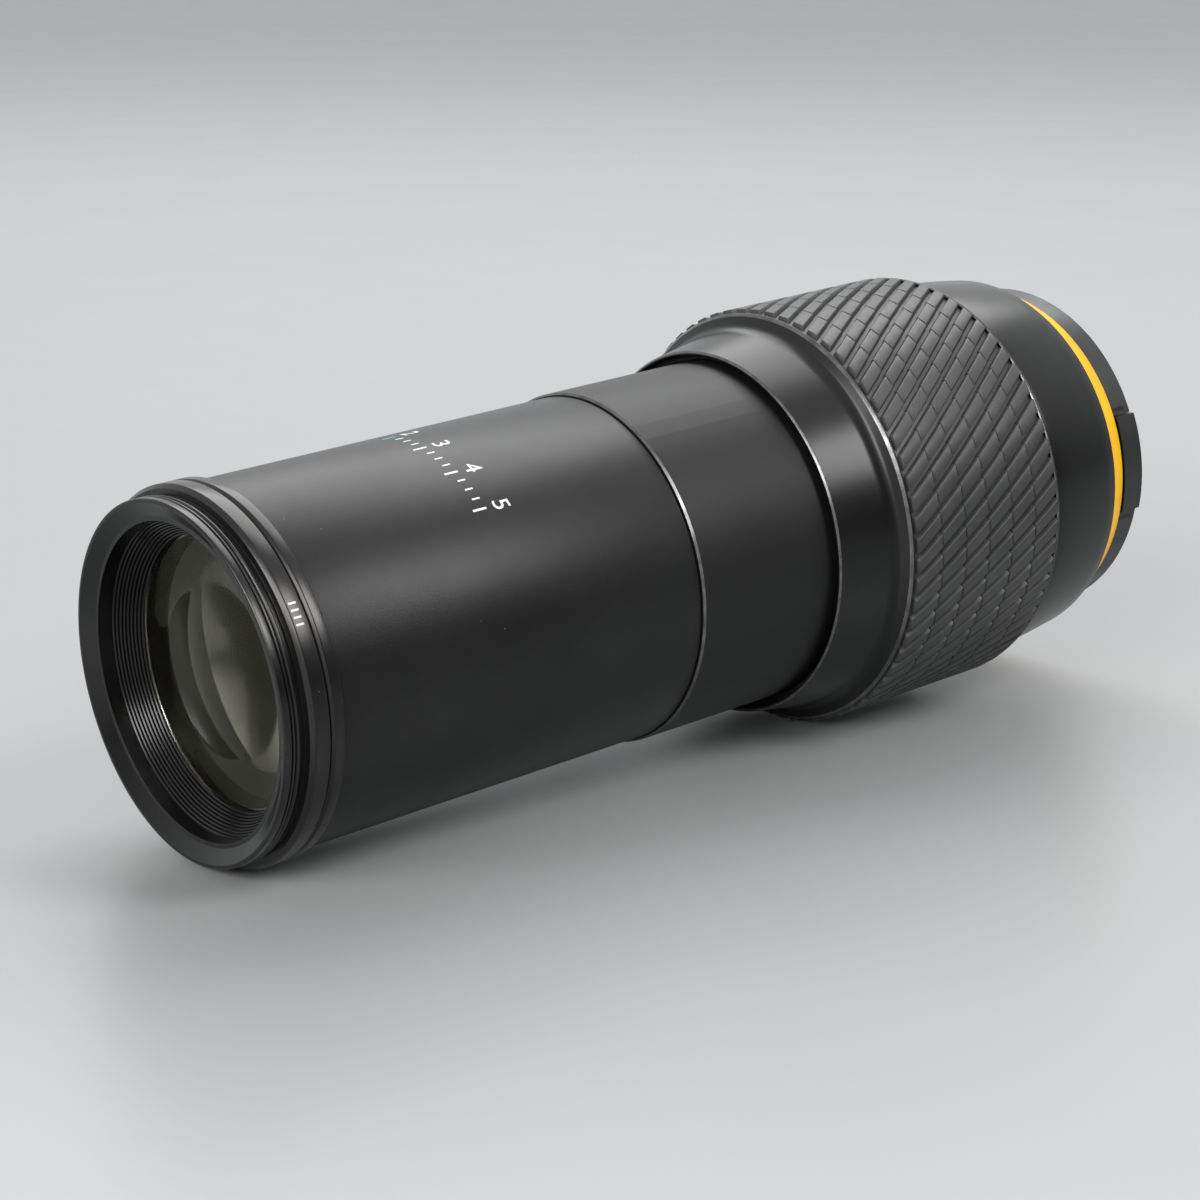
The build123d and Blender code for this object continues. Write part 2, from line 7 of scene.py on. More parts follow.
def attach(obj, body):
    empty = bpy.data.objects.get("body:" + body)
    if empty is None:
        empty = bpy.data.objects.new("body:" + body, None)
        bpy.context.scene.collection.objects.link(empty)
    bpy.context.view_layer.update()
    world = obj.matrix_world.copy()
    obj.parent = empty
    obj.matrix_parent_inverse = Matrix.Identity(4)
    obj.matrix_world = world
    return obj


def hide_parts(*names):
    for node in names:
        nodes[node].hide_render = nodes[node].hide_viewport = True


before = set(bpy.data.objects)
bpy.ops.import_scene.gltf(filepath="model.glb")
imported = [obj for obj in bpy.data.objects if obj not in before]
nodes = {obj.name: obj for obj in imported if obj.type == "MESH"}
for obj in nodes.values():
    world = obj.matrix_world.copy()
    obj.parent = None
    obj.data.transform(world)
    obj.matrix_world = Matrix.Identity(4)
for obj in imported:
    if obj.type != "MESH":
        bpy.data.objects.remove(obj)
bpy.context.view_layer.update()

# The lens lies along X, camera end towards -X. Outlines below are in millimetres: (x, radius, rounding).
mm = 0.001
axis = (1, 0, 0)
centre = (0, 0, 0)


# Node helpers

def addNode(tree, kind, inputs=None, **settings):
    made = tree.nodes.new("ShaderNode" + kind)
    for key, value in settings.items():
        setattr(made, key, value)
    for key, value in (inputs or {}).items():
        if isinstance(value, bpy.types.NodeSocket):
            tree.links.new(value, made.inputs[key])
        else:
            made.inputs[key].default_value = value
    return made


def newMaterial(name):
    material = bpy.data.materials.new(name)
    material.use_nodes = True
    tree = material.node_tree
    spot = addNode(tree, "TexCoord").outputs["Object"]
    scaled = addNode(tree, "VectorMath", {0: spot, 1: (1000, 1000, 1000)}, operation="MULTIPLY")
    return material, tree, tree.nodes["Principled BSDF"], scaled.outputs[0]  # spot in millimetres


def noiseAt(tree, spot, scale, detail=2.0, roughness=0.5):
    made = addNode(tree, "TexNoise", {"Vector": spot, "Scale": scale, "Detail": detail,
                                      "Roughness": roughness})
    return made.outputs["Fac"]


def turnedLines(tree, spot, perMm):
    # Fine lines round the axis, as a lathe leaves them
    along = addNode(tree, "SeparateXYZ", {0: spot}).outputs["X"]
    made = addNode(tree, "TexNoise", {"W": along, "Scale": perMm, "Detail": 3.0, "Roughness": 0.7},
                   noise_dimensions="1D")
    return made.outputs["Fac"]


def spread(tree, value, low, high, start=0.3, end=0.7):
    made = addNode(tree, "MapRange", {"Value": value, "From Min": start, "From Max": end,
                                      "To Min": low, "To Max": high})
    return made.outputs["Result"]


def blendColours(tree, share, first, second):
    made = addNode(tree, "Mix", {"Factor": share, "A": first, "B": second}, data_type="RGBA")
    return made.outputs["Result"]


def mathOf(tree, operation, *values):
    made = addNode(tree, "Math", dict(enumerate(values)), operation=operation)
    return made.outputs[0]


dustCover = {"colour": (0.42, 0.41, 0.39, 1), "patchScale": 0.21, "patchLimit": 0.56}


def surfaceFinish(name, look):
    # Paint, anodising, rubber or plastic from one dictionary of values
    material, tree, shader, spot = newMaterial(name)
    mottle = noiseAt(tree, spot, look["mottleScale"], 4.0)
    colour = blendColours(tree, spread(tree, mottle, 0, 1), (*look["dark"], 1), (*look["light"], 1))
    if "dust" in look:  # sparse pale specks, a tenth of a millimetre across
        cells = addNode(tree, "TexVoronoi", {"Vector": spot, "Scale": look["dustScale"]})
        speck = mathOf(tree, "LESS_THAN", cells.outputs["Distance"], look["dustSize"])
        patches = noiseAt(tree, spot, dustCover["patchScale"], 1.0)
        rare = mathOf(tree, "GREATER_THAN", patches, dustCover["patchLimit"])
        share = mathOf(tree, "MULTIPLY", speck, rare)
        share = mathOf(tree, "MULTIPLY", share, look["dust"])
        colour = blendColours(tree, share, colour, dustCover["colour"])
    tree.links.new(colour, shader.inputs["Base Color"])
    haze = noiseAt(tree, spot, look["hazeScale"], 3.0)
    tree.links.new(spread(tree, haze, *look["roughness"]), shader.inputs["Roughness"])
    grain = noiseAt(tree, spot, look["grainScale"], 2.0, 0.6)
    height = mathOf(tree, "MULTIPLY", grain, look["grainShare"])
    if look.get("lineShare"):
        lines = mathOf(tree, "MULTIPLY", turnedLines(tree, spot, look["linesPerMm"]), look["lineShare"])
        height = mathOf(tree, "ADD", height, lines)
    bump = addNode(tree, "Bump", {"Height": height, "Strength": look["bump"],
                                  "Distance": look["depth"] * mm})
    tree.links.new(bump.outputs[0], shader.inputs["Normal"])
    shader.inputs["Specular IOR Level"].default_value = look.get("gloss", 0.5)
    shader.inputs["Specular Tint"].default_value = (*look.get("sheenTint", (1, 1, 1)), 1)
    shader.inputs["Metallic"].default_value = look.get("metal", 0.0)
    if "turned" in look:  # the sheen of a lathe-turned face fans out from the axis
        shader.inputs["Anisotropic"].default_value = look["turned"]
        aroundAxis = addNode(tree, "Tangent", direction_type="RADIAL", axis="X")
        tree.links.new(aroundAxis.outputs[0], shader.inputs["Tangent"])
    return material


def glassFinish(name, look):
    # Coated glass: the coating tints the shine and takes most of it away
    material, tree, shader, spot = newMaterial(name)
    smear = noiseAt(tree, spot, look["smearScale"], 3.0)
    tree.links.new(spread(tree, smear, *look["roughness"]), shader.inputs["Roughness"])
    shade = blendColours(tree, spread(tree, noiseAt(tree, spot, look["shadeScale"], 1.0), 0, 1),
                         (*look["clear"], 1), (*look["tinted"], 1))
    tree.links.new(shade, shader.inputs["Base Color"])
    shader.inputs["IOR"].default_value = look["ior"]
    shader.inputs["Transmission Weight"].default_value = 1.0
    shader.inputs["Specular Tint"].default_value = (*look["gloss"], 1)
    shader.inputs["Thin Film Thickness"].default_value = look["film"]
    shader.inputs["Thin Film IOR"].default_value = look["filmIor"]
    return material


mattPaint = {"dark": (0.0050, 0.0050, 0.0052), "light": (0.0085, 0.0085, 0.0088), "mottleScale": 0.09,
             "roughness": (0.36, 0.39), "hazeScale": 0.12, "grainScale": 5.5, "grainShare": 1.0,
             "bump": 0.45, "depth": 0.05, "gloss": 0.28, "dust": 0.35, "dustScale": 0.42,
             "dustSize": 0.035}
satinPaint = {"dark": (0.0045, 0.0045, 0.0047), "light": (0.0070, 0.0070, 0.0073), "mottleScale": 0.07,
              "roughness": (0.275, 0.295), "hazeScale": 0.10, "grainScale": 9.0, "grainShare": 0.7,
              "lineShare": 0.5, "linesPerMm": 7.0, "bump": 0.12, "depth": 0.03, "gloss": 0.30,
              "dust": 0.30, "dustScale": 0.36, "dustSize": 0.03}
tubePaint = {**satinPaint, "roughness": (0.47, 0.49), "lineShare": 0.2}
wornEdge = {**satinPaint, "dark": (0.07, 0.07, 0.07), "light": (0.15, 0.15, 0.145), "mottleScale": 0.5,
            "metal": 0.8, "roughness": (0.25, 0.29), "gloss": 0.5}
anodised = {"dark": (0.0040, 0.0039, 0.0040), "light": (0.0070, 0.0066, 0.0066), "mottleScale": 0.11,
            "roughness": (0.24, 0.28), "hazeScale": 0.2, "grainScale": 12.0, "grainShare": 0.25,
            "lineShare": 1.0, "linesPerMm": 11.0, "bump": 0.05, "depth": 0.03, "gloss": 0.36,
            "sheenTint": (1.0, 0.965, 0.94), "dust": 0.45, "dustScale": 0.5, "dustSize": 0.04}
gripCompound = {"dark": (0.025, 0.025, 0.0255), "light": (0.038, 0.038, 0.0385), "mottleScale": 0.18,
                "roughness": (0.44, 0.50), "hazeScale": 0.8, "grainScale": 7.0, "grainShare": 1.0,
                "bump": 0.2, "depth": 0.04, "gloss": 0.5}
capPlastic = {"dark": (0.010, 0.010, 0.0105), "light": (0.015, 0.015, 0.0155), "mottleScale": 0.10,
              "roughness": (0.34, 0.44), "hazeScale": 0.3, "grainScale": 5.0, "grainShare": 1.0,
              "bump": 0.30, "depth": 0.04, "gloss": 0.5}
flatBlack = {"dark": (0.004, 0.004, 0.004), "light": (0.008, 0.008, 0.008), "mottleScale": 0.2,
             "roughness": (0.42, 0.55), "hazeScale": 0.6, "grainScale": 8.0, "grainShare": 0.6,
             "lineShare": 0.6, "linesPerMm": 6.0, "bump": 0.25, "depth": 0.05, "gloss": 0.4}
innerBlack = {"dark": (0.0025, 0.0025, 0.0025), "light": (0.0045, 0.0045, 0.0045), "mottleScale": 0.2,
              "roughness": (0.20, 0.24), "hazeScale": 0.6, "grainScale": 8.0, "grainShare": 0.2,
              "lineShare": 0.3, "linesPerMm": 6.0, "bump": 0.05, "depth": 0.03, "gloss": 0.32}
cellWall = {"dark": (0.17, 0.155, 0.13), "light": (0.24, 0.22, 0.185), "mottleScale": 0.12,
            "roughness": (0.16, 0.18), "hazeScale": 0.3, "grainScale": 8.0, "grainShare": 0.05,
            "lineShare": 0.3, "linesPerMm": 2.0, "bump": 0.02, "depth": 0.03, "gloss": 0.9,
            "metal": 0.95, "turned": 0.9, "sheenTint": (1.0, 0.95, 0.86)}
enamel = {"dark": (1.0, 0.47, 0.003), "light": (1.0, 0.55, 0.004), "mottleScale": 0.16,
          "roughness": (0.34, 0.42), "hazeScale": 0.4, "grainScale": 7.0, "grainShare": 0.5,
          "bump": 0.12, "depth": 0.03, "gloss": 0.14}
printInk = {"dark": (0.70, 0.71, 0.72), "light": (0.80, 0.81, 0.81), "mottleScale": 0.9,
            "roughness": (0.45, 0.60), "hazeScale": 1.5, "grainScale": 12.0, "grainShare": 1.0,
            "bump": 0.2, "depth": 0.02, "gloss": 0.4}
blueInk = {**printInk, "dark": (0.05, 0.42, 0.52), "light": (0.08, 0.52, 0.62)}
brassMetal = {"dark": (0.50, 0.36, 0.13), "light": (0.62, 0.46, 0.19), "mottleScale": 0.5,
              "roughness": (0.22, 0.34), "hazeScale": 1.0, "grainScale": 14.0, "grainShare": 0.5,
              "lineShare": 0.7, "linesPerMm": 9.0, "bump": 0.2, "depth": 0.02, "metal": 1.0}
steelMetal = {**brassMetal, "dark": (0.40, 0.40, 0.41), "light": (0.55, 0.55, 0.56)}
feltFibre = {"dark": (0.006, 0.006, 0.006), "light": (0.020, 0.020, 0.020), "mottleScale": 3.0,
             "roughness": (0.85, 0.95), "hazeScale": 2.0, "grainScale": 14.0, "grainShare": 1.0,
             "bump": 0.8, "depth": 0.15, "gloss": 0.2}
coatedGlass = {"clear": (0.93, 0.95, 0.93), "tinted": (0.91, 0.93, 0.90), "ior": 1.55, "film": 105.0,
               "filmIor": 1.38, "smearScale": 0.12, "roughness": (0.0, 0.004), "shadeScale": 0.08,
               "gloss": (0.36, 0.42, 0.38)}

finishes = {name: surfaceFinish(name, look) for name, look in (
    ("mattPaint", mattPaint), ("satinPaint", satinPaint), ("tubePaint", tubePaint),
    ("wornEdge", wornEdge), ("anodised", anodised), ("gripCompound", gripCompound),
    ("capPlastic", capPlastic), ("flatBlack", flatBlack), ("innerBlack", innerBlack),
    ("cellWall", cellWall), ("enamel", enamel), ("printInk", printInk), ("blueInk", blueInk),
    ("brassMetal", brassMetal), ("steelMetal", steelMetal), ("feltFibre", feltFibre))}
finishes["coatedGlass"] = glassFinish("coatedGlass", coatedGlass)
print("finishes made:", len(finishes))


# Mesh helpers

def place(bm, name, body, replaced, looks, sharpAngle=40):
    # Makes the finished mesh an object that rides on its body
    bmesh.ops.remove_doubles(bm, verts=bm.verts, dist=1e-7)
    bmesh.ops.recalc_face_normals(bm, faces=bm.faces)
    mesh = bpy.data.meshes.new(name)
    bm.to_mesh(mesh)
    bm.free()
    mesh.shade_smooth()
    mesh.set_sharp_from_angle(angle=radians(sharpAngle))
    piece = bpy.data.objects.new(name, mesh)
    bpy.context.scene.collection.objects.link(piece)
    for look in looks:
        mesh.materials.append(finishes[look])
    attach(piece, body)
    if replaced:
        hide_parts(*replaced)
    return piece


def closedChain(bm, outline):
    # Closed wire of the outline's corners, each rounded by its own amount
    corners = [bm.verts.new((x * mm, r * mm, 0)) for x, r, rounding in outline]
    for first, second in zip(corners, corners[1:] + corners[:1]):
        bm.edges.new((first, second))
    groups = {}
    for corner, (x, r, rounding) in zip(corners, outline):
        if rounding:
            groups.setdefault(rounding, []).append(corner)
    for rounding, picked in groups.items():
        bmesh.ops.bevel(bm, geom=picked, offset=rounding * mm, offset_type="OFFSET", segments=3,
                        profile=0.5, affect="VERTICES", material=-1)


def spinRound(bm, steps):
    bmesh.ops.spin(bm, geom=bm.verts[:] + bm.edges[:], cent=centre, axis=axis, angle=2 * pi,
                   steps=steps, use_merge=True)


def lathe(name, outline, body, replaced, looks, paint=None, steps=224):
    bm = bmesh.new()
    closedChain(bm, outline)
    spinRound(bm, steps)
    if paint:  # second finish on the faces that paint picks by x and radius in millimetres
        for face in bm.faces:
            middle = face.calc_center_median() / mm
            face.material_index = int(paint(middle.x, hypot(middle.y, middle.z)))
    return place(bm, name, body, replaced, looks)


def ridgeRow(start, pitch, count, root, crest, rounding):
    # Thread ridges one after another
    points = []
    for k in range(count):
        points += [(start + (k + 0.36) * pitch, crest, rounding),
                   (start + (k + 0.64) * pitch, crest, rounding),
                   (start + (k + 1) * pitch, root, rounding)]
    return points


def addArc(bm, x, radius, bulge, steps):
    # Arc from the axis out to the glass edge, by spinning one vertex about the ball's middle
    ball = (radius ** 2 + bulge ** 2) / (2 * bulge)
    middle = x + bulge - ball
    tip = bm.verts.new(((x + bulge) * mm, 0, 0))
    sweep = asin(radius / ball)
    made = bmesh.ops.spin(bm, geom=[tip], cent=(middle * mm, 0, 0), axis=(0, 0, 1), angle=sweep,
                          steps=steps)
    end = [item for item in made["geom_last"] if isinstance(item, bmesh.types.BMVert)][0]
    return tip, end


def lensElement(name, look):
    # Glass with a rounded back and front (a negative bulge is a hollow), each inside a flat land
    bm = bmesh.new()
    x, edge, radius = look["x"], look["edge"], look["radius"]
    backTip, backEnd = addArc(bm, x, radius - look["backLand"], -look["back"], look["steps"])
    frontTip, frontEnd = addArc(bm, x + edge, radius - look["frontLand"], look["front"], look["steps"])
    rimPoints = [bm.verts.new(((x + look["bevel"]) * mm, radius * mm, 0)),
                 bm.verts.new(((x + edge - look["bevel"]) * mm, radius * mm, 0))]
    landPoints = [bm.verts.new((x * mm, (radius - look["bevel"]) * mm, 0)),
                  bm.verts.new(((x + edge) * mm, (radius - look["bevel"]) * mm, 0))]
    for pair in ((backEnd, landPoints[0]), (landPoints[0], rimPoints[0]), (rimPoints[0], rimPoints[1]),
                 (rimPoints[1], landPoints[1]), (landPoints[1], frontEnd)):
        bm.edges.new(pair)
    spinRound(bm, look["roundSteps"])
    return place(bm, name, look["body"], [look["node"]], ["coatedGlass"], 30)


# Camera end

cameraEnd = {"mouth": 25.4, "throat": 23.3, "mouthDepth": 1.3, "bore": 22.65, "crest": 26.0,
             "root": 25.58, "pitch": 0.75, "ridges": 2, "land": 1.1, "shoulder": 3.5, "ring": 27.25,
             "ringEnd": 6.4, "groove": 26.25, "bandStart": 6.85, "bandEnd": 8.75, "bandBore": 24.5,
             "spigot": 24.45, "spigotEnd": 14.35, "broken": 0.6, "lap": 0.28}
c = cameraEnd
ringOutline = [
    (0, c["mouth"], 0.08), (0, c["crest"] - 0.15, 0.05), (0.15, c["crest"], 0.05),
    (c["land"], c["crest"], 0.06), (c["land"] + 0.12, c["root"], 0.03)]
ringOutline += ridgeRow(c["land"] + 0.05, c["pitch"], c["ridges"], c["root"], c["crest"], 0.04)
ringOutline += [
    (c["shoulder"], c["root"], 0.05), (c["shoulder"], c["ring"] - c["broken"], 0.08),
    (c["shoulder"] + c["broken"], c["ring"], 0.10), (c["ringEnd"] - 0.12, c["ring"], 0.06),
    (c["ringEnd"], c["ring"] - 0.12, 0.04), (c["ringEnd"], c["groove"], 0.05),
    (c["bandStart"], c["groove"], 0), (c["bandStart"], c["spigot"], 0),
    (c["spigotEnd"], c["spigot"], 0), (c["spigotEnd"], c["bore"], 0),
    (c["mouthDepth"], c["bore"], 0.05), (c["mouthDepth"], c["throat"], 0.08)]
lathe("threadRing", ringOutline, "rear_body", ["thread_ring"],
      ["anodised", "innerBlack"],
      paint=lambda x, r: x > 0.06 and r < c["mouth"] - 0.05)  # all faces inside the mouth

lathe("bandRing", [
    (c["bandStart"], c["bandBore"], 0), (c["bandStart"] - c["lap"], c["ring"] - c["broken"], 0.06),
    (c["bandStart"] - c["lap"] + c["broken"], c["ring"], 0.10), (c["bandEnd"] - 0.15, c["ring"], 0.06),
    (c["bandEnd"], c["ring"] - 0.15, 0.06), (c["bandEnd"], c["bandBore"], 0)],
    "rear_body", ["band_ring"], ["anodised"])

baffle = {"start": 3.5, "depth": 3.6, "ridges": 9, "mouth": 22.6, "bore": 19.6,
          "slope": 0.16, "steps": 160}
step = baffle["depth"] / baffle["ridges"]
fall = (baffle["mouth"] - baffle["bore"]) / baffle["ridges"]
baffleOutline = [(baffle["start"], baffle["mouth"], 0)]
for k in range(baffle["ridges"]):
    high = baffle["mouth"] - fall * (k + 0.5)
    baffleOutline += [(baffle["start"] + k * step + 0.02, high, 0),
                      (baffle["start"] + (k + 0.55) * step, high - baffle["slope"], 0.03),
                      (baffle["start"] + (k + 0.98) * step, high, 0.03)]
baffleOutline += [(baffle["start"] + baffle["depth"], baffle["bore"], 0),
                  (baffle["start"] + baffle["depth"], baffle["mouth"], 0)]
lathe("glassBaffle", baffleOutline, "rear_body", ["rear_baffle"], ["innerBlack"],
      steps=baffle["steps"])
print("camera end made")


# Rear barrel

barrel = {"start": 8.75, "end": 71.95, "radius": 26.5, "bore": 24.5, "edge": 0.12}
lathe("rearBarrel", [
    (barrel["start"], barrel["bore"], 0), (barrel["start"], barrel["radius"], barrel["edge"]),
    (barrel["end"], barrel["radius"], barrel["edge"]), (barrel["end"], barrel["bore"], 0)],
    "rear_body", ["rear_barrel"], ["mattPaint"])

# Plain dial marks on the barrel: numbers with ticks, read round the barrel
dial = {"numbers": "2345", "size": 3.9, "x": 42.2, "first": -6.0, "step": 16.0, "lift": 0.012,
        "tickX": 38.6, "tickLong": 2.3, "tickShort": 1.3, "tickWidth": 0.34, "narrower": 0.8,
        "ticksBetween": 3, "thickness": 0.008, "bendStep": 0.3}


def wrapRound(bm, radius, x, angle):
    # Bends a flat print in XY round the barrel: its x runs round the axis, its y along the axis
    low = min(v.co.x for v in bm.verts)
    high = max(v.co.x for v in bm.verts)
    cut = low + dial["bendStep"] * mm
    while cut < high:
        bmesh.ops.bisect_plane(bm, geom=bm.verts[:] + bm.edges[:] + bm.faces[:], plane_co=(cut, 0, 0),
                               plane_no=(1, 0, 0))
        cut += dial["bendStep"] * mm
    for v in bm.verts:
        turn = radians(angle) + v.co.x / (radius * mm)
        out = radius * mm + v.co.z
        v.co = (x * mm + v.co.y, -out * sin(turn), out * cos(turn))


def addPrint(bm, text, size, radius, x, angle):
    curve = bpy.data.curves.new("digits", "FONT")
    curve.body, curve.size, curve.align_x = text, size * mm, "CENTER"
    curve.extrude = dial["thickness"] / 2 * mm
    made = bpy.data.objects.new("digits", curve)
    bpy.context.scene.collection.objects.link(made)
    mesh = bpy.data.meshes.new_from_object(made.evaluated_get(bpy.context.evaluated_depsgraph_get()))
    bpy.data.objects.remove(made)
    part = bmesh.new()
    part.from_mesh(mesh)
    bmesh.ops.remove_doubles(part, verts=part.verts, dist=1e-7)
    wrapRound(part, radius, x, angle)
    part.to_mesh(mesh)
    part.free()
    bm.from_mesh(mesh)


def addTick(bm, length, width, radius, x, angle):
    part = bmesh.new()
    bmesh.ops.create_cube(part, size=1, matrix=Matrix.Translation((0, length * mm / 2, 0))
                          @ Matrix.Diagonal((width * mm, length * mm, dial["thickness"] * mm, 1)))
    wrapRound(part, radius, x, angle)
    mesh = bpy.data.meshes.new("tick")
    part.to_mesh(mesh)
    part.free()
    bm.from_mesh(mesh)


markRadius = barrel["radius"] + dial["lift"]
marks, blueMarks = bmesh.new(), bmesh.new()
for k, digit in enumerate(dial["numbers"]):
    angle = dial["first"] + k * dial["step"]
    addPrint(marks, digit, dial["size"], markRadius, dial["x"], angle)
    addTick(blueMarks if k == 0 else marks, dial["tickLong"], dial["tickWidth"], markRadius,
            dial["tickX"], angle)
    if k + 1 < len(dial["numbers"]):
        for between in range(1, dial["ticksBetween"] + 1):
            share = between / (dial["ticksBetween"] + 1)
            addTick(marks, dial["tickShort"], dial["tickWidth"] * dial["narrower"], markRadius,
                    dial["tickX"] + dial["tickLong"] - dial["tickShort"], angle + share * dial["step"])
place(marks, "dialMarks", "rear_body", None, ["printInk"])
place(blueMarks, "dialStartMark", "rear_body", None, ["blueInk"])

# Plain index ticks on the marked ring
ringMarks = {"x": 4.45, "length": 1.15, "width": 0.28, "angles": (55.5, 57.6, 59.7, 61.8)}
index = bmesh.new()
for angle in ringMarks["angles"]:
    addTick(index, ringMarks["length"], ringMarks["width"], c["ring"] + dial["lift"], ringMarks["x"],
            angle)
place(index, "ringMarks", "rear_body", None, ["printInk"])
print("rear barrel and its marks made")


# Tube that runs into the zoom ring: the CAD shape with its edge at the seam broken
innerTube = {"start": 72.2, "radius": 27.0, "edge": 0.36, "near": 0.02}
bm = bmesh.new()
bm.from_mesh(nodes["inner_tube"].data)
bmesh.ops.remove_doubles(bm, verts=bm.verts, dist=1e-6)
bmesh.ops.dissolve_limit(bm, angle_limit=radians(0.5), verts=bm.verts, edges=bm.edges)


def onSeamEdge(v):
    atSeam = abs(v.co.x / mm - innerTube["start"]) < innerTube["near"]
    return atSeam and hypot(v.co.y, v.co.z) / mm > innerTube["radius"] - innerTube["near"]


seamEdges = [e for e in bm.edges if onSeamEdge(e.verts[0]) and onSeamEdge(e.verts[1])]
bmesh.ops.bevel(bm, geom=seamEdges, offset=innerTube["edge"] * mm, offset_type="OFFSET", segments=2,
                profile=0.5, affect="EDGES", material=-1)
for face in bm.faces:  # the broken edge is worn
    middle = face.calc_center_median() / mm
    along = middle.x - innerTube["start"]
    inward = innerTube["radius"] - hypot(middle.y, middle.z)
    face.material_index = int(innerTube["near"] < along < innerTube["edge"] - innerTube["near"]
                              and innerTube["near"] / 2 < inward < innerTube["edge"])
place(bm, "innerTube", "rear_body", ["inner_tube"], ["tubePaint", "wornEdge"], 30)
print("inner tube made, edges broken:", len(seamEdges))


# Zoom ring: collar with a flared foot, flange, a thin sleeve and the far lip

zoom = {"lip": 97.8, "lipRadius": 28.8, "lipEdge": 0.32, "bore": 28.25, "straightEnd": 107.1,
        "straightRadius": 30.25, "foot": 108.2, "footRadius": 31.1, "wall": 108.95, "flange": 32.85,
        "flangeEnd": 109.6, "sleeve": 30.6, "pocket": 30.25, "pocketStart": 110.8, "pocketEnd": 140.2,
        "gripEnd": 140.95, "farLip": 33.25, "farLipWidth": 0.45, "neck": 31.8, "neckEdge": 0.3,
        "face": 142.7, "snapStart": 140.65, "snapEnd": 141.55, "snapRadius": 28.8}
z = zoom


def isWorn(x, r):
    # Edges of the collar's lip, of the flange and of the far lip, where the paint is rubbed thin
    onLip = x < z["lip"] + 0.3 and r > z["lipRadius"] - 0.28
    onFlange = z["wall"] - 0.14 < x < z["wall"] + 0.2 and r > z["flange"] - 0.42
    onFarLip = z["gripEnd"] < x < z["gripEnd"] + 0.2 and r > z["farLip"] - 0.24
    return onLip or onFlange or onFarLip


lathe("zoomRing", [
    (z["lip"], z["bore"], 0.03), (z["lip"], z["lipRadius"] - z["lipEdge"], 0.03),
    (z["lip"] + z["lipEdge"], z["lipRadius"], 0.04),
    (z["straightEnd"], z["straightRadius"], 0.7), (z["foot"], z["footRadius"], 0.3),
    (z["wall"] - 0.2, z["flange"] - 0.5, 0.05), (z["wall"] + 0.25, z["flange"], 0.06),
    (z["flangeEnd"] - 0.15, z["flange"], 0.05), (z["flangeEnd"], z["flange"] - 0.18, 0.04),
    (z["flangeEnd"], z["sleeve"], 0), (z["gripEnd"], z["sleeve"], 0),
    (z["gripEnd"], z["farLip"] - 0.25, 0.04), (z["gripEnd"] + 0.22, z["farLip"], 0.06),
    (z["gripEnd"] + z["farLipWidth"], z["farLip"] - 0.08, 0.05),
    (z["gripEnd"] + z["farLipWidth"], z["neck"], 0.2), (z["face"] - z["neckEdge"], z["neck"], 0.08),
    (z["face"], z["neck"] - z["neckEdge"], 0.08), (z["face"], z["bore"], 0.05),
    (z["snapEnd"], z["bore"], 0), (z["snapEnd"], z["snapRadius"], 0),
    (z["snapStart"], z["snapRadius"], 0), (z["snapStart"], z["bore"], 0),
    (z["pocketEnd"], z["bore"], 0), (z["pocketEnd"], z["pocket"], 0),
    (z["pocketStart"], z["pocket"], 0), (z["pocketStart"], z["bore"], 0)],
    "zoom_sleeve", ["zoom_ring"], ["satinPaint", "wornEdge"], paint=isWorn)

# Rubber sleeve with slanted bars
grip = {"start": 109.6, "end": 140.95, "bore": 30.6, "base": 32.6, "crest": 33.35, "sink": 0.3,
        "length": 5.15, "width": 2.8, "slant": 31.0, "columns": 6, "pitch": 5.18, "rows": 64,
        "middle": 125.4, "corner": 0.08, "edge": 0.11, "topLength": 0.988, "topWidth": 0.72,
        "cuts": (-0.25, 0, 0.25)}
bm = bmesh.new()
height = grip["crest"] - grip["base"] + grip["sink"]
blockSize = Matrix.Diagonal((grip["length"] * mm, grip["width"] * mm, height * mm, 1))
bmesh.ops.create_cube(bm, size=1, matrix=blockSize)
bmesh.ops.scale(bm, vec=(grip["topLength"], grip["topWidth"], 1),
                verts=[v for v in bm.verts if v.co.z > 0])
lean = Matrix.Identity(4)  # each bar's ends stay in line with the columns
lean[1][0] = tan(radians(grip["slant"]))
bmesh.ops.transform(bm, matrix=lean, verts=bm.verts)
upright = [e for e in bm.edges if abs(e.verts[0].co.z - e.verts[1].co.z) > height * mm / 2]
bmesh.ops.bevel(bm, geom=upright, offset=grip["corner"] * mm, offset_type="OFFSET", segments=2,
                profile=0.5, affect="EDGES", material=-1)
topEdges = [e for e in bm.edges if all(v.co.z > height * mm / 2 - 1e-6 for v in e.verts)]
bmesh.ops.bevel(bm, geom=topEdges, offset=grip["edge"] * mm, offset_type="OFFSET", segments=2,
                profile=0.5, affect="EDGES", material=-1)
bmesh.ops.delete(bm, geom=[f for f in bm.faces if f.normal.z < -0.9], context="FACES_ONLY")
for cut in grip["cuts"]:  # more points along the bar, so that its slanted top can bend
    bmesh.ops.bisect_plane(bm, geom=bm.verts[:] + bm.edges[:] + bm.faces[:],
                           plane_co=(cut * grip["length"] * mm, 0, 0), plane_no=(1, 0, 0))
for v in bm.verts:  # tops follow the ring's round
    v.co.z -= grip["crest"] * mm - ((grip["crest"] * mm) ** 2 - v.co.y ** 2) ** 0.5
barFaces = len(bm.faces)
first = grip["middle"] - (grip["columns"] - 1) / 2 * grip["pitch"]
seat = Matrix.Translation((first * mm, 0, (grip["base"] - grip["sink"] + height / 2) * mm))
bmesh.ops.transform(bm, matrix=seat, verts=bm.verts)
source = bm.verts[:] + bm.edges[:] + bm.faces[:]
